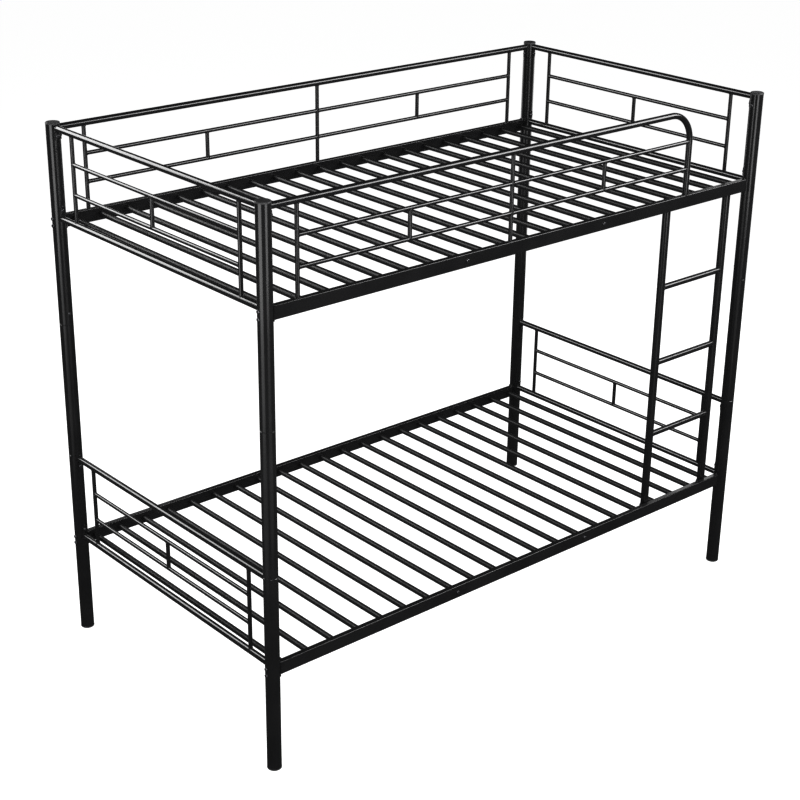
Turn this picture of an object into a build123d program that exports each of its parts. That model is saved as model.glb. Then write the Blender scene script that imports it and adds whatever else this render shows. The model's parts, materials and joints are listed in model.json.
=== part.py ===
"""Twin-over-twin metal bunk bed with an upright ladder, in millimetres.

The floor is z = 0. +X runs along the bed towards the ladder end, -Y is the ladder side, +Z is up.
"""
import os
from math import radians, tan

from build123d import *

os.makedirs("parts", exist_ok=True)

# Overall layout: post axes stand on a rectangle centred on the origin.
half_length = 970.0
half_width = 509.3
total_height = 1676.4
weld_gap = 0.15

# Corner posts, each stacked from three tubes with butt joints.
post_r = 21.0
post_wall = 1.5
joint_heights = (620.0, 1056.0)
joint_chamfer = 1.0
sleeve_r = 19.2
sleeve_wall = 1.5
sleeve_half_height = 60.0
cap_r = 21.3
cap_thickness = 5.0
cap_fillet = 2.6
cap_plug_r = 19.2
cap_plug_wall = 2.0
cap_plug_height = 16.0

# Round tubes of the frames.
rail_r = 9.5
rail_wall = 1.2
upright_r = 6.0
upright_wall = 1.0

# End frames: bottom and top rail heights, then the two rods between them.
lower_end_z = (337.8, 608.8)
upper_end_z = (1389.4, 1661.0)
end_upright_y = 407.0

# Side rails: rectangular tubes standing on edge between saddles at the posts.
side_rail_z = {"lower": 324.0, "upper": 1378.0}
side_rail_height = 40.0
side_rail_depth = 17.0
side_rail_wall = 1.5
side_rail_round = 2.2
saddle_thickness = 2.5
saddle_half_angle = 45.0

# Slats.
slat_r = 8.75
slat_wall = 1.2
slat_pitch = 92.5
slat_count = 21
bolted_slat_steps = (-3, 3)
slat_end_gap = 0.5
slat_end_y = half_width + side_rail_depth / 2 - side_rail_wall - slat_end_gap
slat_plug_length = 25.0
slat_hole_r = 8.85

# Guards of the upper bunk.
guard_top_z = 1659.0
guard_rod_z = (1480.5, 1567.0)
back_guard_upright_x = (-869.0, 0.0, 869.0)
front_guard_upright_x = (-866.0, -106.0)
front_guard_leg_x = 654.0
front_guard_bend_r = 90.0

# Ladder.
ladder_rail_r = 12.7
ladder_rail_wall = 1.5
ladder_x = (598.0, 889.0)
ladder_z = (306.0, 1388.0)
rung_z = (586.0, 840.0, 1097.0)
ladder_y = -half_width + side_rail_depth / 2 + ladder_rail_r + weld_gap

# Lugs that hold the rails to the posts, and their screws.
lug_width = 14.0
lug_height = 24.0
lug_thickness = 2.5
top_lug_drop = 23.0
bottom_lug_rise = 26.0
sleeve_screw_z = joint_heights[1] + 37.0

# Fasteners. The head's rounding and the socket's depth are shares of the head's height.
screw_r = 2.5
screw_length = 11.0
screw_head_r = 5.0
screw_head_height = 3.2
bolt_r = 3.0
bolt_head_r = 5.5
bolt_head_height = 4.0
bolt_hole_r = 3.3
tight_hole_clearance = 0.1
socket_r = 2.0
head_round = 0.6
socket_depth = 0.6
thread_past_nut = 2.0
ladder_bolt_grip = 6.0
bolt_pair_spacing = 21.0
nut_flat_r = 5.0
nut_height = 5.0

post_names = {
    "front_left": (-half_length, -half_width),
    "front_right": (half_length, -half_width),
    "back_left": (-half_length, half_width),
    "back_right": (half_length, half_width),
}
post_places = tuple(post_names.values())
rail_bolt_offsets = (-bolt_pair_spacing / 2, bolt_pair_spacing / 2)


def sign(value):
    """+1 for a positive coordinate, -1 for a negative one."""
    return 1.0 if value > 0 else -1.0


def save(piece, node):
    """Name a finished piece and write it out."""
    piece.part.label = node
    export_step(piece.part, "parts/" + node + ".step")


def post_cutters(clearance):
    """Four tall round cutters standing where the posts stand."""
    with BuildPart() as cutters:
        with BuildSketch(Plane.XY):
            with Locations(*post_places):
                Circle(post_r + clearance)
        extrude(amount=total_height)
    return cutters.part


def end_screw_heights(end_z):
    """Heights of the two end-frame screws of one tier."""
    return (end_z[0] + bottom_lug_rise, end_z[1] - top_lug_drop)


post_clear = post_cutters(weld_gap)
saddle_clear = post_cutters(weld_gap + saddle_thickness + weld_gap)


# ---------------------------------------------------------------- posts
def post_tube(node, x, y, z_low, z_high, chamfered, bolt_z, y_screw_z, x_screw_z):
    """One length of post tube with its bolt and screw holes."""
    with BuildPart() as tube:
        with BuildSketch(Plane.XY.offset(z_low)):
            with Locations((x, y)):
                Circle(post_r)
        extrude(amount=z_high - z_low)
        rims = tube.edges().filter_by(GeomType.CIRCLE).sort_by(Axis.Z)
        for rim, wanted in ((rims[0], "low" in chamfered), (rims[-1], "high" in chamfered)):
            if wanted:
                chamfer(rim, joint_chamfer)
        with BuildSketch(Plane.XY.offset(z_low)):
            with Locations((x, y)):
                Circle(post_r - post_wall)
        extrude(amount=z_high - z_low, mode=Mode.SUBTRACT)
        for z in bolt_z:
            with BuildSketch(Plane(origin=(x - 2 * post_r, y, z), z_dir=(1, 0, 0))):
                Circle(bolt_hole_r)
            extrude(amount=4 * post_r, mode=Mode.SUBTRACT)
        for z in y_screw_z:
            with BuildSketch(Plane(origin=(x, y, z), z_dir=(0, -sign(y), 0))):
                Circle(screw_r + tight_hole_clearance)
            extrude(amount=2 * post_r, mode=Mode.SUBTRACT)
        for z in x_screw_z:
            with BuildSketch(Plane(origin=(x, y, z), z_dir=(-sign(x), 0, 0))):
                Circle(screw_r + tight_hole_clearance)
            extrude(amount=2 * post_r, mode=Mode.SUBTRACT)
    save(tube, node)


def posts():
    """Lower, middle and upper tube at each corner."""
    for corner, (x, y) in post_names.items():
        low_bolts = [side_rail_z["lower"] + dz for dz in rail_bolt_offsets]
        high_bolts = [side_rail_z["upper"] + dz for dz in rail_bolt_offsets]
        low_screws = end_screw_heights(lower_end_z)
        high_screws = end_screw_heights(upper_end_z) + (sleeve_screw_z,)
        guard_screw = (guard_top_z - top_lug_drop,)
        foot = cap_thickness
        top = total_height - cap_thickness
        post_tube("lower_post_" + corner, x, y, foot, joint_heights[0], ("high",), low_bolts, low_screws, ())
        post_tube("middle_post_" + corner, x, y, joint_heights[0], joint_heights[1], ("low", "high"), (), (), ())
        post_tube(
            "upper_post_" + corner, x, y, joint_heights[1], top, ("low",), high_bolts, high_screws, guard_screw
        )


def joint_sleeves(node, z_joint, screw_heights):
    """Hidden sleeves that line up two post tubes at a joint."""
    with BuildPart() as sleeves:
        with BuildSketch(Plane.XY.offset(z_joint - sleeve_half_height)):
            with Locations(*post_places):
                Circle(sleeve_r)
                Circle(sleeve_r - sleeve_wall, mode=Mode.SUBTRACT)
        extrude(amount=2 * sleeve_half_height)
        for z in screw_heights:
            for x, y in post_places:
                with BuildSketch(Plane(origin=(x, y, z), z_dir=(0, -sign(y), 0))):
                    Circle(screw_r + tight_hole_clearance)
                extrude(amount=post_r, mode=Mode.SUBTRACT)
    save(sleeves, node)


def end_caps(node, z_flange, rounded_up):
    """Plastic caps pressed into the post ends, rounded on the outside."""
    with BuildPart() as caps:
        with BuildSketch(Plane.XY.offset(z_flange)):
            with Locations(*post_places):
                Circle(cap_r)
        extrude(amount=cap_thickness)
        rims = caps.edges().filter_by(GeomType.CIRCLE).group_by(Axis.Z)
        fillet(rims[-1] if rounded_up else rims[0], cap_fillet)
        plug_base = z_flange if rounded_up else z_flange + cap_thickness
        direction = -1 if rounded_up else 1
        with BuildSketch(Plane.XY.offset(plug_base)):
            with Locations(*post_places):
                Circle(cap_plug_r)
                Circle(cap_plug_r - cap_plug_wall, mode=Mode.SUBTRACT)
        extrude(amount=direction * cap_plug_height)
    save(caps, node)


# ---------------------------------------------------------------- end frames
def end_rail(node, x, z):
    """Round rail between the two posts of an end, coped to both."""
    with BuildPart() as rail:
        with BuildSketch(Plane(origin=(x, -half_width, z), z_dir=(0, 1, 0))):
            Circle(rail_r)
            Circle(rail_r - rail_wall, mode=Mode.SUBTRACT)
        extrude(amount=2 * half_width)
        add(post_clear, mode=Mode.SUBTRACT)
    save(rail, node)


def end_uprights(node, x, end_z, rod_z):
    """Two uprights between the rails and a short one between the rods."""
    with BuildPart() as uprights:
        with BuildSketch(Plane.XY.offset(end_z[0])):
            with Locations((x, -end_upright_y), (x, end_upright_y)):
                Circle(upright_r)
                Circle(upright_r - upright_wall, mode=Mode.SUBTRACT)
        extrude(amount=end_z[1] - end_z[0])
        with BuildSketch(Plane.XY.offset(rod_z[0])):
            with Locations((x, 0)):
                Circle(upright_r)
                Circle(upright_r - upright_wall, mode=Mode.SUBTRACT)
        extrude(amount=rod_z[1] - rod_z[0])
        for z in end_z:
            with BuildSketch(Plane(origin=(x, -half_width, z), z_dir=(0, 1, 0))):
                Circle(rail_r + weld_gap)
            extrude(amount=2 * half_width, mode=Mode.SUBTRACT)
        for z in rod_z:
            with BuildSketch(Plane(origin=(x, -2 * rail_r, z), z_dir=(0, 1, 0))):
                Circle(upright_r + weld_gap)
            extrude(amount=4 * rail_r, mode=Mode.SUBTRACT)
    save(uprights, node)


def end_rods(node, x, rod_z):
    """Two level rods between the uprights of an end frame."""
    with BuildPart() as rods:
        for z in rod_z:
            with BuildSketch(Plane(origin=(x, -end_upright_y, z), z_dir=(0, 1, 0))):
                Circle(upright_r)
                Circle(upright_r - upright_wall, mode=Mode.SUBTRACT)
            extrude(amount=2 * end_upright_y)
        with BuildSketch(Plane.XY.offset(rod_z[0] - 2 * rail_r)):
            with Locations((x, -end_upright_y), (x, end_upright_y)):
                Circle(upright_r + weld_gap)
        extrude(amount=rod_z[1] - rod_z[0] + 4 * rail_r, mode=Mode.SUBTRACT)
    save(rods, node)


def end_frames():
    """Head and foot frames of both bunks."""
    for tier, end_z in (("lower", lower_end_z), ("upper", upper_end_z)):
        third = (end_z[1] - end_z[0]) / 3
        rod_z = (end_z[0] + third, end_z[1] - third)
        for side, x in (("left", -half_length), ("right", half_length)):
            prefix = tier + "_" + side + "_end_"
            end_rail(prefix + "top_rail", x, end_z[1])
            end_rail(prefix + "bottom_rail", x, end_z[0])
            end_uprights(prefix + "uprights", x, end_z, rod_z)
            end_rods(prefix + "rods", x, rod_z)


# ---------------------------------------------------------------- side rails
def slat_positions(bolted):
    """X positions of the plug-in or of the bolted slats."""
    middle = slat_count // 2
    steps = [i for i in range(-middle, middle + 1) if (i in bolted_slat_steps) == bolted]
    return [i * slat_pitch for i in steps]


def side_rail(node, y, z):
    """Rectangular tube coped to the saddles, drilled for the slats and the ladder."""
    outward = sign(y)
    ladder_side = y < 0
    with BuildPart() as rail:
        with BuildSketch(Plane(origin=(-half_length, y, z), x_dir=(0, 1, 0), z_dir=(1, 0, 0))):
            RectangleRounded(side_rail_depth, side_rail_height, side_rail_round)
            RectangleRounded(
                side_rail_depth - 2 * side_rail_wall,
                side_rail_height - 2 * side_rail_wall,
                side_rail_round - side_rail_wall,
                mode=Mode.SUBTRACT,
            )
        extrude(amount=2 * half_length)
        add(saddle_clear, mode=Mode.SUBTRACT)
        inward = Plane(origin=(0, y, z), x_dir=(1, 0, 0), z_dir=(0, -outward, 0))
        with BuildSketch(inward):
            with Locations(*[(x, 0) for x in slat_positions(False) + slat_positions(True)]):
                Circle(slat_hole_r)
            if ladder_side:
                with Locations(*[(x, 0) for x in ladder_x]):
                    Circle(bolt_r + tight_hole_clearance)
        extrude(amount=side_rail_depth, mode=Mode.SUBTRACT)
        outer = Plane(origin=(0, y, z), x_dir=(1, 0, 0), z_dir=(0, outward, 0))
        with BuildSketch(outer):
            with Locations(*[(x, 0) for x in slat_positions(True)]):
                Circle(bolt_hole_r)
        extrude(amount=side_rail_depth, mode=Mode.SUBTRACT)
    save(rail, node)


def side_rails():
    """Front and back side rails of both bunks."""
    for tier, z in side_rail_z.items():
        side_rail(tier + "_front_side_rail", -half_width, z)
        side_rail(tier + "_back_side_rail", half_width, z)


def saddle(x, y, z):
    """Curved plate at the end of a side rail, wrapped round the post's inner side."""
    inner = post_r + weld_gap
    reach = 2 * post_r
    centre = Plane(origin=(x, y, z - side_rail_height / 2), x_dir=(-sign(x), 0, 0), z_dir=(0, 0, 1))
    wedge_length = 2 * reach
    wedge_half_width = wedge_length * tan(radians(saddle_half_angle))
    with BuildPart() as plate:
        with BuildSketch(centre):
            Circle(inner + saddle_thickness)
            Circle(inner, mode=Mode.SUBTRACT)
            with BuildSketch(mode=Mode.INTERSECT):
                with BuildLine():
                    far_corner = (wedge_length, wedge_half_width)
                    near_corner = (wedge_length, -wedge_half_width)
                    Polyline((0, 0), far_corner, near_corner, (0, 0))
                make_face()
        extrude(amount=side_rail_height)
        for dz in rail_bolt_offsets:
            with BuildSketch(Plane(origin=(x, y, z + dz), z_dir=(-sign(x), 0, 0))):
                Circle(bolt_hole_r)
            extrude(amount=reach, mode=Mode.SUBTRACT)
    return plate.part


def saddles():
    """The eight saddles, two to a side rail."""
    with BuildPart() as plates:
        for z in side_rail_z.values():
            for x, y in post_places:
                add(saddle(x, y, z))
    save(plates, "side_rail_saddles")


# ---------------------------------------------------------------- slats
def plug_in_slats(node, z):
    """Round slats that plug into the side rails' inner walls."""
    with BuildPart() as slats:
        across = Plane(origin=(0, -slat_end_y, z), x_dir=(1, 0, 0), z_dir=(0, 1, 0))
        with BuildSketch(across):
            with Locations(*[(x, 0) for x in slat_positions(False)]):
                Circle(slat_r)
                Circle(slat_r - slat_wall, mode=Mode.SUBTRACT)
        extrude(amount=2 * slat_end_y)
    save(slats, node)


def bolted_slats(node, z):
    """Slats with threaded ends that tie the two side rails together."""
    with BuildPart() as slats:
        across = Plane(origin=(0, -slat_end_y, z), x_dir=(1, 0, 0), z_dir=(0, 1, 0))
        spots = [(x, 0) for x in slat_positions(True)]
        with BuildSketch(across):
            with Locations(*spots):
                Circle(slat_r)
        extrude(amount=2 * slat_end_y)
        with BuildSketch(across.offset(slat_plug_length)):
            with Locations(*spots):
                Circle(slat_r - slat_wall)
        extrude(amount=2 * (slat_end_y - slat_plug_length), mode=Mode.SUBTRACT)
        with BuildSketch(across):
            with Locations(*spots):
                Circle(bolt_r + tight_hole_clearance)
        extrude(amount=2 * slat_end_y, mode=Mode.SUBTRACT)
    save(slats, node)


# ---------------------------------------------------------------- guards
def guard_rods(node, y, spans, leg_x):
    """Level rods between neighbouring uprights of a guard."""
    with BuildPart() as rods:
        for x_low, x_high in spans:
            for z in guard_rod_z:
                with BuildSketch(Plane(origin=(x_low, y, z), z_dir=(1, 0, 0))):
                    Circle(upright_r)
                    Circle(upright_r - upright_wall, mode=Mode.SUBTRACT)
                extrude(amount=x_high - x_low)
        for x in sorted({x for span in spans for x in span}):
            post_clearance = rail_r if x == leg_x else upright_r
            with BuildSketch(Plane.XY.offset(guard_rod_z[0] - 2 * rail_r)):
                with Locations((x, y)):
                    Circle(post_clearance + weld_gap)
            extrude(amount=guard_rod_z[1] - guard_rod_z[0] + 4 * rail_r, mode=Mode.SUBTRACT)
    save(rods, node)


def guard_uprights(node, y, tall_x, short_x):
    """Uprights on the side rail and short ones between the rods."""
    foot = side_rail_z["upper"] + side_rail_height / 2 + weld_gap
    with BuildPart() as uprights:
        with BuildSketch(Plane.XY.offset(foot)):
            with Locations(*[(x, y) for x in tall_x]):
                Circle(upright_r)
                Circle(upright_r - upright_wall, mode=Mode.SUBTRACT)
        extrude(amount=guard_top_z - foot)
        with BuildSketch(Plane.XY.offset(guard_rod_z[0])):
            with Locations(*[(x, y) for x in short_x]):
                Circle(upright_r)
                Circle(upright_r - upright_wall, mode=Mode.SUBTRACT)
        extrude(amount=guard_rod_z[1] - guard_rod_z[0])
        with BuildSketch(Plane(origin=(-half_length, y, guard_top_z), z_dir=(1, 0, 0))):
            Circle(rail_r + weld_gap)
        extrude(amount=2 * half_length, mode=Mode.SUBTRACT)
        for x in short_x:
            for z in guard_rod_z:
                with BuildSketch(Plane(origin=(x - 2 * rail_r, y, z), z_dir=(1, 0, 0))):
                    Circle(upright_r + weld_gap)
                extrude(amount=4 * rail_r, mode=Mode.SUBTRACT)
    save(uprights, node)


def back_guard():
    """Guard along the wall side, straight from post to post."""
    with BuildPart() as top_rail:
        with BuildSketch(Plane(origin=(-half_length, half_width, guard_top_z), z_dir=(1, 0, 0))):
            Circle(rail_r)
            Circle(rail_r - rail_wall, mode=Mode.SUBTRACT)
        extrude(amount=2 * half_length)
        add(post_clear, mode=Mode.SUBTRACT)
    save(top_rail, "back_guard_top_rail")
    left, middle, right = back_guard_upright_x
    short_x = ((left + middle) / 2, (middle + right) / 2)
    guard_uprights("back_guard_uprights", half_width, back_guard_upright_x, short_x)
    guard_rods("back_guard_rods", half_width, ((left, middle), (middle, right)), None)


def front_guard():
    """Guard on the ladder side, bent down to the side rail short of the ladder."""
    y = -half_width
    foot = side_rail_z["upper"] + side_rail_height / 2 + weld_gap
    bend_start = front_guard_leg_x - front_guard_bend_r
    with BuildPart() as top_tube:
        with BuildLine() as path:
            along = Line((-half_length, y, guard_top_z), (bend_start, y, guard_top_z))
            bend = TangentArc(
                along @ 1, (front_guard_leg_x, y, guard_top_z - front_guard_bend_r), tangent=along % 1
            )
            Line(bend @ 1, (front_guard_leg_x, y, foot))
        with BuildSketch(Plane(origin=path.line @ 0, z_dir=path.line % 0)):
            Circle(rail_r)
            Circle(rail_r - rail_wall, mode=Mode.SUBTRACT)
        sweep()
        add(post_clear, mode=Mode.SUBTRACT)
    save(top_tube, "front_guard_top_tube")
    left, middle = front_guard_upright_x
    short_x = ((left + middle) / 2, (middle + front_guard_leg_x) / 2)
    guard_uprights("front_guard_uprights", y, front_guard_upright_x, short_x)
    spans = ((left, middle), (middle, front_guard_leg_x))
    guard_rods("front_guard_rods", y, spans, front_guard_leg_x)


# ---------------------------------------------------------------- ladder
def ladder_rail(node, x):
    """Upright round tube, drilled front to back at each side rail."""
    with BuildPart() as rail:
        with BuildSketch(Plane.XY.offset(ladder_z[0])):
            with Locations((x, ladder_y)):
                Circle(ladder_rail_r)
                Circle(ladder_rail_r - ladder_rail_wall, mode=Mode.SUBTRACT)
        extrude(amount=ladder_z[1] - ladder_z[0])
        for z in side_rail_z.values():
            with BuildSketch(Plane(origin=(x, ladder_y - 2 * ladder_rail_r, z), z_dir=(0, 1, 0))):
                Circle(bolt_hole_r)
            extrude(amount=4 * ladder_rail_r, mode=Mode.SUBTRACT)
    save(rail, node)


def ladder_rungs():
    """Three round rungs coped to the ladder's rails."""
    with BuildPart() as rungs:
        for z in rung_z:
            with BuildSketch(Plane(origin=(ladder_x[0], ladder_y, z), z_dir=(1, 0, 0))):
                Circle(rail_r)
                Circle(rail_r - rail_wall, mode=Mode.SUBTRACT)
            extrude(amount=ladder_x[1] - ladder_x[0])
        with BuildSketch(Plane.XY.offset(ladder_z[0])):
            with Locations(*[(x, ladder_y) for x in ladder_x]):
                Circle(ladder_rail_r + weld_gap)
        extrude(amount=ladder_z[1] - ladder_z[0], mode=Mode.SUBTRACT)
    save(rungs, "ladder_rungs")


def ladder():
    """Fixed ladder just inside the front side rails."""
    ladder_rail("ladder_left_rail", ladder_x[0])
    ladder_rail("ladder_right_rail", ladder_x[1])
    ladder_rungs()


# ---------------------------------------------------------------- lugs and fasteners
def lug(x, y, z, towards):
    """Small curved plate against a post, with a screw hole through it."""
    inner = post_r + weld_gap
    base = Plane(origin=(x, y, z - lug_height / 2), x_dir=towards, z_dir=(0, 0, 1))
    with BuildPart() as plate:
        with BuildSketch(base):
            Circle(inner + lug_thickness)
            Circle(inner, mode=Mode.SUBTRACT)
            with Locations((post_r, 0)):
                Rectangle(2 * post_r, lug_width, mode=Mode.INTERSECT)
        extrude(amount=lug_height)
        with BuildSketch(Plane(origin=(x, y, z), z_dir=towards)):
            Circle(screw_r + tight_hole_clearance)
        extrude(amount=2 * post_r, mode=Mode.SUBTRACT)
    return plate.part


def end_frame_lugs():
    """Lugs under each end top rail and over each end bottom rail."""
    with BuildPart() as plates:
        for end_z in (lower_end_z, upper_end_z):
            for z in end_screw_heights(end_z):
                for x, y in post_places:
                    add(lug(x, y, z, (0, -sign(y), 0)))
    save(plates, "end_frame_lugs")


def guard_lugs():
    """Lugs under the guard top tubes."""
    with BuildPart() as plates:
        for corner in ("front_left", "back_left", "back_right"):
            x, y = post_names[corner]
            add(lug(x, y, guard_top_z - top_lug_drop, (-sign(x), 0, 0)))
    save(plates, "guard_lugs")


def button_head_fastener(shank_r, shank_length, head_r, head_height):
    """Button-head screw pointing down from z = 0, with a socket in its head."""
    with BuildPart() as fastener:
        with BuildSketch(Plane.XY):
            Circle(head_r)
        extrude(amount=head_height)
        rim = fastener.edges().filter_by(GeomType.CIRCLE).sort_by(Axis.Z)[-1]
        fillet(rim, head_height * head_round)
        with BuildSketch(Plane.XY):
            Circle(shank_r)
        extrude(amount=-shank_length)
        with BuildSketch(Plane.XY.offset(head_height)):
            RegularPolygon(socket_r, 6)
        extrude(amount=-head_height * socket_depth, mode=Mode.SUBTRACT)
    return fastener.part


def fastener_set(node, fastener, seats):
    """Copies of a fastener with their heads on the given seats."""
    with BuildPart() as group:
        with Locations(*[Location(seat) for seat in seats]):
            add(fastener)
    save(group, node)


def screws():
    """Screws of the end frames, the guards and the upper joint sleeves."""
    screw = button_head_fastener(screw_r, screw_length, screw_head_r, screw_head_height)
    proud = weld_gap + lug_thickness + weld_gap
    end_seats = []
    sleeve_seats = []
    guard_seats = []
    for corner, (x, y) in post_names.items():
        inward_y = (0, -sign(y), 0)
        inward_x = (-sign(x), 0, 0)
        for end_z in (lower_end_z, upper_end_z):
            for z in end_screw_heights(end_z):
                end_seats.append(Plane(origin=(x, y - sign(y) * (post_r + proud), z), z_dir=inward_y))
        sleeve_face = y - sign(y) * (post_r + weld_gap)
        sleeve_seats.append(Plane(origin=(x, sleeve_face, sleeve_screw_z), z_dir=inward_y))
        spare = corner == "front_right"
        guard_face = x - sign(x) * (post_r + (weld_gap if spare else proud))
        guard_seats.append(Plane(origin=(guard_face, y, guard_top_z - top_lug_drop), z_dir=inward_x))
    fastener_set("end_frame_screws", screw, end_seats)
    fastener_set("joint_sleeve_screws", screw, sleeve_seats)
    fastener_set("guard_screws", screw, guard_seats)


def bolts():
    """Bolts of the side rails, of the bolted slats and of the ladder."""
    to_nut = 2 * post_r + 2 * weld_gap + saddle_thickness + nut_height + thread_past_nut
    rail_bolt = button_head_fastener(bolt_r, to_nut, bolt_head_r, bolt_head_height)
    rail_seats = []
    for z in side_rail_z.values():
        for dz in rail_bolt_offsets:
            for x, y in post_places:
                face = x + sign(x) * (post_r + weld_gap)
                rail_seats.append(Plane(origin=(face, y, z + dz), z_dir=(sign(x), 0, 0)))
    fastener_set("side_rail_bolts", rail_bolt, rail_seats)

    slat_bolt = button_head_fastener(bolt_r, slat_plug_length, bolt_head_r, bolt_head_height)
    slat_seats = []
    for z in side_rail_z.values():
        for x in slat_positions(True):
            for outward in (-1.0, 1.0):
                face = outward * (half_width + side_rail_depth / 2 + weld_gap)
                slat_seats.append(Plane(origin=(x, face, z), z_dir=(0, outward, 0)))
    fastener_set("slat_bolts", slat_bolt, slat_seats)

    through_ladder = 2 * ladder_rail_r + 2 * weld_gap + side_rail_wall + ladder_bolt_grip
    ladder_bolt = button_head_fastener(bolt_r, through_ladder, bolt_head_r, bolt_head_height)
    ladder_seats = []
    for z in side_rail_z.values():
        for x in ladder_x:
            face = ladder_y + ladder_rail_r + weld_gap
            ladder_seats.append(Plane(origin=(x, face, z), z_dir=(0, 1, 0)))
    fastener_set("ladder_bolts", ladder_bolt, ladder_seats)


def side_rail_nuts():
    """Hexagon nuts behind the saddles, inside the side rails' ends."""
    with BuildPart() as nut:
        with BuildSketch(Plane.XY):
            RegularPolygon(nut_flat_r, 6, major_radius=False)
            Circle(bolt_r + tight_hole_clearance, mode=Mode.SUBTRACT)
        extrude(amount=nut_height)
    behind = post_r + weld_gap + saddle_thickness + weld_gap
    seats = []
    for z in side_rail_z.values():
        for dz in rail_bolt_offsets:
            for x, y in post_places:
                face = x - sign(x) * behind
                seats.append(Plane(origin=(face, y, z + dz), x_dir=(0, 0, 1), z_dir=(-sign(x), 0, 0)))
    fastener_set("side_rail_nuts", nut.part, seats)


posts()
joint_sleeves("lower_joint_sleeves", joint_heights[0], (end_screw_heights(lower_end_z)[1],))
joint_sleeves("upper_joint_sleeves", joint_heights[1], (sleeve_screw_z,))
end_caps("post_top_caps", total_height - cap_thickness, True)
end_caps("post_foot_caps", 0.0, False)
end_frames()
side_rails()
saddles()
for tier, rail_z in side_rail_z.items():
    plug_in_slats(tier + "_plug_in_slats", rail_z)
    bolted_slats(tier + "_bolted_slats", rail_z)
back_guard()
front_guard()
ladder()
end_frame_lugs()
guard_lugs()
screws()
bolts()
side_rail_nuts()
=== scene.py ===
"""Looks of a black metal twin-over-twin bunk bed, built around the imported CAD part."""
import json
import math

import bmesh
import bpy
from mathutils import Matrix, Vector


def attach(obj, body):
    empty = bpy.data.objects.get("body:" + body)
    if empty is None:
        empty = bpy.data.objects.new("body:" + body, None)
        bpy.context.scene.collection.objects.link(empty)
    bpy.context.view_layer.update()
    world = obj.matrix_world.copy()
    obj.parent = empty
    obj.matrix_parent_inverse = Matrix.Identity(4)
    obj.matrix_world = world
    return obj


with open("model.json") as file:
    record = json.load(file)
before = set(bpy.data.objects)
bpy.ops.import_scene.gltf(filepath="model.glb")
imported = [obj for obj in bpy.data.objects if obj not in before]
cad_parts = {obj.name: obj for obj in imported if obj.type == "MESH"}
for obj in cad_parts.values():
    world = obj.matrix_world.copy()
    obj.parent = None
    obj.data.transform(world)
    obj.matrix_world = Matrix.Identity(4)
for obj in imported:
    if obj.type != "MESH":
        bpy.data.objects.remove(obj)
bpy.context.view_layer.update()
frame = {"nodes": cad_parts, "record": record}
nodes = frame["nodes"]


# ------------------------------------------------------------------ camera
CAMERA_POSITION = (-3.32563, -3.73390, 2.84904)
CAMERA_AZIMUTH = 41.0958  # degrees from +Y towards +X, the way it looks
CAMERA_DIP = 23.1739  # degrees below the horizon
CAMERA_ROLL = 0.7682
CAMERA_LENS = 75.2422
SENSOR = 36.0
CAMERA_REACH = 100.0


def add_camera():
    """The camera, at the photograph's viewing angle."""
    data = bpy.data.cameras.new("camera")
    data.lens = CAMERA_LENS
    data.sensor_width = SENSOR
    data.clip_end = CAMERA_REACH
    camera = bpy.data.objects.new("camera", data)
    turn = Matrix.Rotation(-math.radians(CAMERA_AZIMUTH), 4, "Z")
    tip = Matrix.Rotation(math.radians(90.0 - CAMERA_DIP), 4, "X")
    roll = Matrix.Rotation(math.radians(CAMERA_ROLL), 4, "Z")
    camera.matrix_world = Matrix.Translation(CAMERA_POSITION) @ turn @ tip @ roll
    bpy.context.scene.collection.objects.link(camera)
    bpy.context.scene.camera = camera


# ------------------------------------------------------------------ materials
# Texture scales are in features to the metre, and bump depths in metres.
NOISE_LOW = 0.3
NOISE_HIGH = 0.7
DARK_STOP = 0.35
LIGHT_STOP = 0.65

COAT_DARK = (0.0150, 0.0150, 0.0156)
COAT_LIGHT = (0.0190, 0.0190, 0.0196)
COAT_DRIFT_SCALE = 9.0
COAT_PATCH_SCALE = 38.0
COAT_PEEL_STRENGTH = 0.35

PLASTIC_DARK = (0.055, 0.055, 0.056)
PLASTIC_LIGHT = (0.075, 0.075, 0.077)
PLASTIC_DRIFT_SCALE = 60.0
PLASTIC_ROUGH_LOW = 0.42
PLASTIC_ROUGH_HIGH = 0.55
PLASTIC_CELL_SCALE = 1500.0
PLASTIC_CELL_STRENGTH = 0.3
PLASTIC_CELL_DEPTH = 0.0001

OXIDE_DARK = (0.13, 0.13, 0.135)
OXIDE_LIGHT = (0.20, 0.20, 0.21)
BARE_DARK = (0.36, 0.36, 0.37)
BARE_LIGHT = (0.50, 0.50, 0.51)
STEEL_METALLIC = 0.85
STEEL_GRAIN_STRENGTH = 0.2
STEEL_GRAIN_DEPTH = 0.0001


def new_material(name):
    """A new material, its node tree and its Principled shader."""
    material = bpy.data.materials.new(name)
    material.use_nodes = True
    tree = material.node_tree
    shader = tree.nodes["Principled BSDF"]
    return material, tree, shader


def noise(tree, coordinates, scale, detail, roughness=0.5):
    """A noise texture read in object space."""
    texture = tree.nodes.new("ShaderNodeTexNoise")
    texture.inputs["Scale"].default_value = scale
    texture.inputs["Detail"].default_value = detail
    texture.inputs["Roughness"].default_value = roughness
    tree.links.new(coordinates, texture.inputs["Vector"])
    return texture.outputs["Fac"]


def span(tree, value, out_low, out_high):
    """A noise value spread over out_low to out_high, clamped."""
    node = tree.nodes.new("ShaderNodeMapRange")
    node.inputs["From Min"].default_value = NOISE_LOW
    node.inputs["From Max"].default_value = NOISE_HIGH
    node.inputs["To Min"].default_value = out_low
    node.inputs["To Max"].default_value = out_high
    tree.links.new(value, node.inputs["Value"])
    return node.outputs["Result"]


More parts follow.
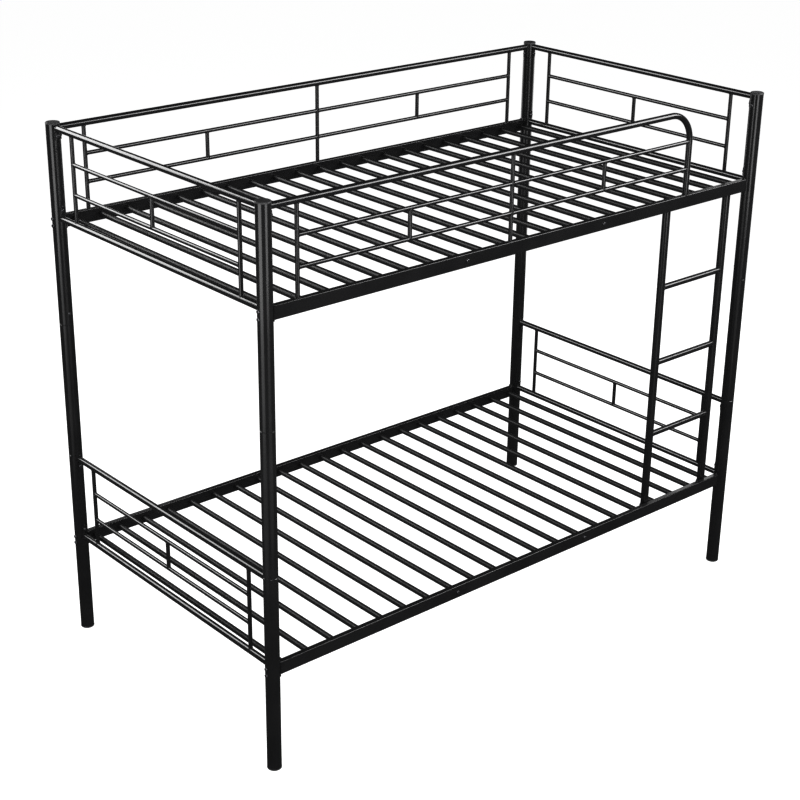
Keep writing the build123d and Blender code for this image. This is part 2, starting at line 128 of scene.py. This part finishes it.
def two_tone(tree, value, dark, light):
    """A colour between dark and light."""
    ramp = tree.nodes.new("ShaderNodeValToRGB")
    ramp.color_ramp.elements[0].position = DARK_STOP
    ramp.color_ramp.elements[0].color = (*dark, 1.0)
    ramp.color_ramp.elements[1].position = LIGHT_STOP
    ramp.color_ramp.elements[1].color = (*light, 1.0)
    tree.links.new(value, ramp.inputs["Fac"])
    return ramp.outputs["Color"]


def raise_surface(tree, shader, height, strength, depth):
    """Fine relief on a shader, from a height value."""
    bump = tree.nodes.new("ShaderNodeBump")
    bump.inputs["Strength"].default_value = strength
    bump.inputs["Distance"].default_value = depth
    tree.links.new(height, bump.inputs["Height"])
    tree.links.new(bump.outputs["Normal"], shader.inputs["Normal"])


def powder_coat(name, rough_low, rough_high, peel_scale, peel_depth, sheen):
    """Baked powder coat: fine orange peel, faint tone drift and uneven gloss."""
    material, tree, shader = new_material(name)
    place = tree.nodes.new("ShaderNodeTexCoord").outputs["Object"]
    drift = noise(tree, place, COAT_DRIFT_SCALE, 3.0)
    tree.links.new(two_tone(tree, drift, COAT_DARK, COAT_LIGHT), shader.inputs["Base Color"])
    shader.inputs["Specular IOR Level"].default_value = sheen
    patches = noise(tree, place, COAT_PATCH_SCALE, 4.0, 0.6)
    tree.links.new(span(tree, patches, rough_low, rough_high), shader.inputs["Roughness"])
    peel = noise(tree, place, peel_scale, 2.0, 0.45)
    raise_surface(tree, shader, peel, COAT_PEEL_STRENGTH, peel_depth)
    return material


def moulded_plastic(name):
    """Satin black plastic with a fine spark-eroded texture."""
    material, tree, shader = new_material(name)
    place = tree.nodes.new("ShaderNodeTexCoord").outputs["Object"]
    drift = noise(tree, place, PLASTIC_DRIFT_SCALE, 2.0)
    tones = two_tone(tree, drift, PLASTIC_DARK, PLASTIC_LIGHT)
    tree.links.new(tones, shader.inputs["Base Color"])
    gloss = span(tree, drift, PLASTIC_ROUGH_LOW, PLASTIC_ROUGH_HIGH)
    tree.links.new(gloss, shader.inputs["Roughness"])
    cells = tree.nodes.new("ShaderNodeTexVoronoi")
    cells.inputs["Scale"].default_value = PLASTIC_CELL_SCALE
    tree.links.new(place, cells.inputs["Vector"])
    distance = cells.outputs["Distance"]
    raise_surface(tree, shader, distance, PLASTIC_CELL_STRENGTH, PLASTIC_CELL_DEPTH)
    return material


def metal(name, dark, light, rough_low, rough_high, scale):
    """Bare or blackened steel with a fine mottled grain."""
    material, tree, shader = new_material(name)
    place = tree.nodes.new("ShaderNodeTexCoord").outputs["Object"]
    grain = noise(tree, place, scale, 4.0, 0.6)
    tree.links.new(two_tone(tree, grain, dark, light), shader.inputs["Base Color"])
    tree.links.new(span(tree, grain, rough_low, rough_high), shader.inputs["Roughness"])
    shader.inputs["Metallic"].default_value = STEEL_METALLIC
    raise_surface(tree, shader, grain, STEEL_GRAIN_STRENGTH, STEEL_GRAIN_DEPTH)
    return material


def add_materials():
    """One procedural material to each material slot of the record."""
    by_slot = {
        "frame_coating": powder_coat("black_powder_coat", 0.17, 0.21, 900.0, 0.000012, 0.8),
        "slat_coating": powder_coat("slat_powder_coat", 0.38, 0.46, 800.0, 0.00003, 0.5),
        "cap_plastic": moulded_plastic("black_cap_plastic"),
        "hardware": metal("black_oxide_steel", OXIDE_DARK, OXIDE_LIGHT, 0.18, 0.28, 420.0),
        "sleeve_steel": metal("drawn_steel", BARE_DARK, BARE_LIGHT, 0.30, 0.45, 300.0),
    }
    for part in frame["record"]["subparts"]:
        node = nodes[part["node"]]
        node.data.materials.clear()
        node.data.materials.append(by_slot[part["material_slot"]])
    return by_slot


# ------------------------------------------------------------------ welds
BEAD_R = 0.0013
BEAD_STEPS = 36
BEAD_SIDES = 8
RIPPLES = 9
RIPPLE_DEPTH = 0.10  # as a share of the bead's radius
JOIN_STEP = 1e-5  # vertices this close are one
WELD_REACH = 0.003  # how far off a host a tube's end may be and still be welded to it


def solids(node):
    """Low corner and high corner of each separate solid of a CAD node."""
    mesh = nodes[node].data
    keys = [tuple(round(c / JOIN_STEP) for c in v.co) for v in mesh.vertices]
    leader = {key: key for key in keys}

    def find(key):
        while leader[key] != key:
            leader[key] = leader[leader[key]]
            key = leader[key]
        return key

    for edge in mesh.edges:
        leader[find(keys[edge.vertices[0]])] = find(keys[edge.vertices[1]])
    groups = {}
    for key, vertex in zip(keys, mesh.vertices):
        groups.setdefault(find(key), []).append(vertex.co)
    boxes = []
    for points in groups.values():
        low = Vector([min(p[i] for p in points) for i in range(3)])
        high = Vector([max(p[i] for p in points) for i in range(3)])
        boxes.append((low, high))
    return sorted(boxes, key=lambda box: tuple(box[0]))


class Tube:
    """A straight round tube, read from its box: axis, centre, radius and ends."""

    def __init__(self, low, high):
        size = high - low
        self.axis_index = max(range(3), key=lambda i: size[i])
        self.axis = Vector([1.0 if i == self.axis_index else 0.0 for i in range(3)])
        self.centre = (low + high) / 2
        self.radius = min(size) / 2
        self.low = low[self.axis_index]
        self.high = high[self.axis_index]

    def end(self, value):
        """The point on the axis at a coordinate along it."""
        point = self.centre.copy()
        point[self.axis_index] = value
        return point


def tubes(node):
    """Every straight tube of a CAD node."""
    return [Tube(low, high) for low, high in solids(node)]


def bead(bm, centres, outs, ups):
    """A closed weld bead through the given points, a little rippled."""
    rings = []
    for i, (centre, out, up) in enumerate(zip(centres, outs, ups)):
        t = 2 * math.pi * i / BEAD_STEPS
        swell = BEAD_R * (1.0 + RIPPLE_DEPTH * math.cos(RIPPLES * t))
        ring = []
        for k in range(BEAD_SIDES):
            a = 2 * math.pi * k / BEAD_SIDES
            ring.append(bm.verts.new(centre + (math.cos(a) * out + math.sin(a) * up) * swell))
        rings.append(ring)
    for i, ring in enumerate(rings):
        after = rings[(i + 1) % BEAD_STEPS]
        for k in range(BEAD_SIDES):
            m = (k + 1) % BEAD_SIDES
            face = bm.faces.new((ring[k], after[k], after[m], ring[m]))
            face.smooth = True


def saddle_bead(bm, tube, host):
    """The bead round a tube's end where it meets a host tube crossing it at right angles."""
    origin = host.end(tube.centre[host.axis_index])
    along = (tube.centre - origin).normalized()
    side = host.axis.cross(along)
    depth = math.sqrt(max(host.radius ** 2 - tube.radius ** 2, 0.0))
    points = []
    arounds = []
    for i in range(BEAD_STEPS):
        t = 2 * math.pi * i / BEAD_STEPS
        around = math.cos(t) * host.axis + math.sin(t) * side
        across = min(abs(tube.radius * math.sin(t)), host.radius)
        reach = math.sqrt(max(host.radius ** 2 - across ** 2, depth ** 2))
        points.append(origin + around * tube.radius + along * (reach + BEAD_R / 2))
        arounds.append(around)
    outs = []
    ups = []
    for i, around in enumerate(arounds):
        tangent = (points[(i + 1) % BEAD_STEPS] - points[i - 1]).normalized()
        out = (around - tangent * around.dot(tangent)).normalized()
        outs.append(out)
        ups.append(tangent.cross(out))
    bead(bm, points, outs, ups)


def flat_bead(bm, tube):
    """The bead round a tube's foot where it stands on a side rail."""
    centre = tube.end(tube.low)
    first = tube.axis.orthogonal().normalized()
    second = tube.axis.cross(first)
    outs = []
    for i in range(BEAD_STEPS):
        t = 2 * math.pi * i / BEAD_STEPS
        outs.append(math.cos(t) * first + math.sin(t) * second)
    points = [centre + out * tube.radius for out in outs]
    bead(bm, points, outs, [tube.axis] * BEAD_STEPS)


def weld_tubes(bm, members, hosts):
    """Beads wherever a member's end lies on a host that crosses it."""
    for tube in members:
        for host in hosts:
            if host.axis_index == tube.axis_index:
                continue
            for end in (tube.low, tube.high):
                start = tube.end(end)
                across = start - host.end(start[host.axis_index])
                place = start[host.axis_index]
                inside = host.low - WELD_REACH < place < host.high + WELD_REACH
                if inside and across.length < host.radius + WELD_REACH:
                    saddle_bead(bm, tube, host)


def finish_welds(bm, name, material):
    """Turns a bmesh of beads into a piece of the bed."""
    bmesh.ops.recalc_face_normals(bm, faces=bm.faces)
    mesh = bpy.data.meshes.new(name)
    bm.to_mesh(mesh)
    bm.free()
    mesh.materials.append(material)
    piece = bpy.data.objects.new(name, mesh)
    bpy.context.scene.collection.objects.link(piece)
    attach(piece, "root")


def add_end_frame_welds(material):
    """Beads where the uprights and rods of each end frame meet."""
    for tier in ("lower", "upper"):
        for side in ("left", "right"):
            prefix = tier + "_" + side + "_end_"
            rails = tubes(prefix + "top_rail") + tubes(prefix + "bottom_rail")
            uprights = tubes(prefix + "uprights")
            rods = tubes(prefix + "rods")
            bm = bmesh.new()
            weld_tubes(bm, uprights, rails + rods)
            weld_tubes(bm, rods, uprights)
            finish_welds(bm, prefix + "welds", material)


def add_guard_welds(material):
    """Beads on the two guards, and round their feet on the side rails."""
    back_rail = tubes("back_guard_top_rail")
    bent_low, bent_high = solids("front_guard_top_tube")[0]
    rail_radius = (bent_high.y - bent_low.y) / 2
    leg_low = Vector((bent_high.x - 2 * rail_radius, bent_low.y, bent_low.z))
    leg = Tube(leg_low, bent_high)
    level_low = Vector((bent_low.x, bent_low.y, bent_high.z - 2 * rail_radius))
    level = Tube(level_low, bent_high)
    for name, top, extra in (("back_guard", back_rail, []), ("front_guard", [level], [leg])):
        uprights = tubes(name + "_uprights")
        rods = tubes(name + "_rods")
        foot_level = min(tube.low for tube in uprights)
        bm = bmesh.new()
        weld_tubes(bm, uprights, top + rods)
        weld_tubes(bm, rods, uprights + extra)
        for tube in uprights + extra:
            if tube.low < foot_level + WELD_REACH:
                flat_bead(bm, tube)
        finish_welds(bm, name + "_welds", material)


def add_ladder_welds(material):
    """Beads at both ends of each rung."""
    rails = tubes("ladder_left_rail") + tubes("ladder_right_rail")
    bm = bmesh.new()
    weld_tubes(bm, tubes("ladder_rungs"), rails)
    finish_welds(bm, "ladder_welds", material)


# ------------------------------------------------------------------ floor and light
WHITE = (1.0, 1.0, 1.0, 1.0)
FLOOR_HALF = 30.0
FLOOR_TONE = (0.3, 0.3, 0.3, 1.0)
FLOOR_ROUGHNESS = 0.9
FLOOR_GLOW = 0.97
ROOM_STRENGTH = 0.06
BACKDROP_STRENGTH = 1.0
VIEW_GAMMA = 0.7  # below 1 it deepens the darks
BED_FOOT = (0.0, 0.0, 0.0)

# Each lamp's name, place, aim, width, height and watts.
LAMPS = (
    ("back_left_box", (-1.9, 2.5, 2.65), BED_FOOT, 1.6, 2.2, 84.0),
    ("front_right_box", (2.1, -2.35, 2.8), BED_FOOT, 2.6, 1.7, 124.0),
    ("front_left_box", (-1.9, -2.5, 2.8), BED_FOOT, 1.6, 1.7, 50.0),
    ("left_box", (-3.3, -0.7, 1.35), (0.0, -0.7, 1.35), 2.0, 1.7, 36.0),
    ("left_low_box", (-3.3, -0.7, 0.25), (0.0, -0.7, 0.25), 2.0, 0.5, 4.0),
    ("front_box", (-0.67, -4.2, 1.2), (-0.3, 0.0, 1.2), 2.1, 2.2, 48.0),
    ("right_box", (3.3, 0.7, 1.15), (0.0, 0.7, 1.15), 2.0, 2.1, 24.0),
    ("back_box", (0.67, 4.2, 1.2), (0.3, 0.0, 1.2), 2.1, 2.2, 26.0),
    ("left_floor_glow", (-2.7, -0.55, 0.02), (-2.7, -0.55, 1.0), 1.3, 2.0, 3.0),
    ("front_floor_glow", (-0.8, -2.8, 0.02), (-0.8, -2.8, 1.0), 1.8, 2.0, 4.5),
)


def add_floor():
    """A plain pale floor that runs out of sight."""
    bm = bmesh.new()
    signs = ((-1, -1), (1, -1), (1, 1), (-1, 1))
    corners = [bm.verts.new((x * FLOOR_HALF, y * FLOOR_HALF, 0.0)) for x, y in signs]
    bm.faces.new(corners)
    mesh = bpy.data.meshes.new("floor")
    bm.to_mesh(mesh)
    bm.free()
    material, _, shader = new_material("pale_floor")
    shader.inputs["Base Color"].default_value = FLOOR_TONE
    shader.inputs["Roughness"].default_value = FLOOR_ROUGHNESS
    shader.inputs["Emission Color"].default_value = WHITE
    shader.inputs["Emission Strength"].default_value = FLOOR_GLOW
    shader.inputs["Specular IOR Level"].default_value = 0.0
    mesh.materials.append(material)
    floor = bpy.data.objects.new("floor", mesh)
    bpy.context.scene.collection.objects.link(floor)
    floor.visible_glossy = False


def add_area(name, position, target, width, height, power):
    """A soft rectangular lamp aimed at a point."""
    data = bpy.data.lights.new(name, "AREA")
    data.shape = "RECTANGLE"
    data.size = width
    data.size_y = height
    data.energy = power
    lamp = bpy.data.objects.new(name, data)
    lamp.location = position
    aim = Vector(target) - Vector(position)
    lamp.visible_camera = False
    lamp.rotation_euler = aim.to_track_quat("-Z", "Y").to_euler()
    bpy.context.scene.collection.objects.link(lamp)


def add_world():
    """A white studio: the backdrop shows white, and the room lights the bed softly."""
    world = bpy.data.worlds.new("studio")
    world.use_nodes = True
    tree = world.node_tree
    room = tree.nodes["Background"]
    room.inputs["Color"].default_value = WHITE
    room.inputs["Strength"].default_value = ROOM_STRENGTH
    backdrop = tree.nodes.new("ShaderNodeBackground")
    backdrop.inputs["Color"].default_value = WHITE
    backdrop.inputs["Strength"].default_value = BACKDROP_STRENGTH
    seen = tree.nodes.new("ShaderNodeLightPath")
    mix = tree.nodes.new("ShaderNodeMixShader")
    tree.links.new(seen.outputs["Is Camera Ray"], mix.inputs["Fac"])
    tree.links.new(room.outputs["Background"], mix.inputs[1])
    tree.links.new(backdrop.outputs["Background"], mix.inputs[2])
    tree.links.new(mix.outputs["Shader"], tree.nodes["World Output"].inputs["Surface"])
    bpy.context.scene.world = world


def add_lights():
    """Plain soft studio light: soft boxes round the bed, and two low glows from the floor."""
    for lamp in LAMPS:
        add_area(*lamp)


coating = add_materials()["frame_coating"]
add_end_frame_welds(coating)
add_guard_welds(coating)
add_ladder_welds(coating)
add_camera()
add_floor()
add_world()
add_lights()
bpy.context.scene.view_settings.view_transform = "Standard"
bpy.context.scene.view_settings.gamma = VIEW_GAMMA
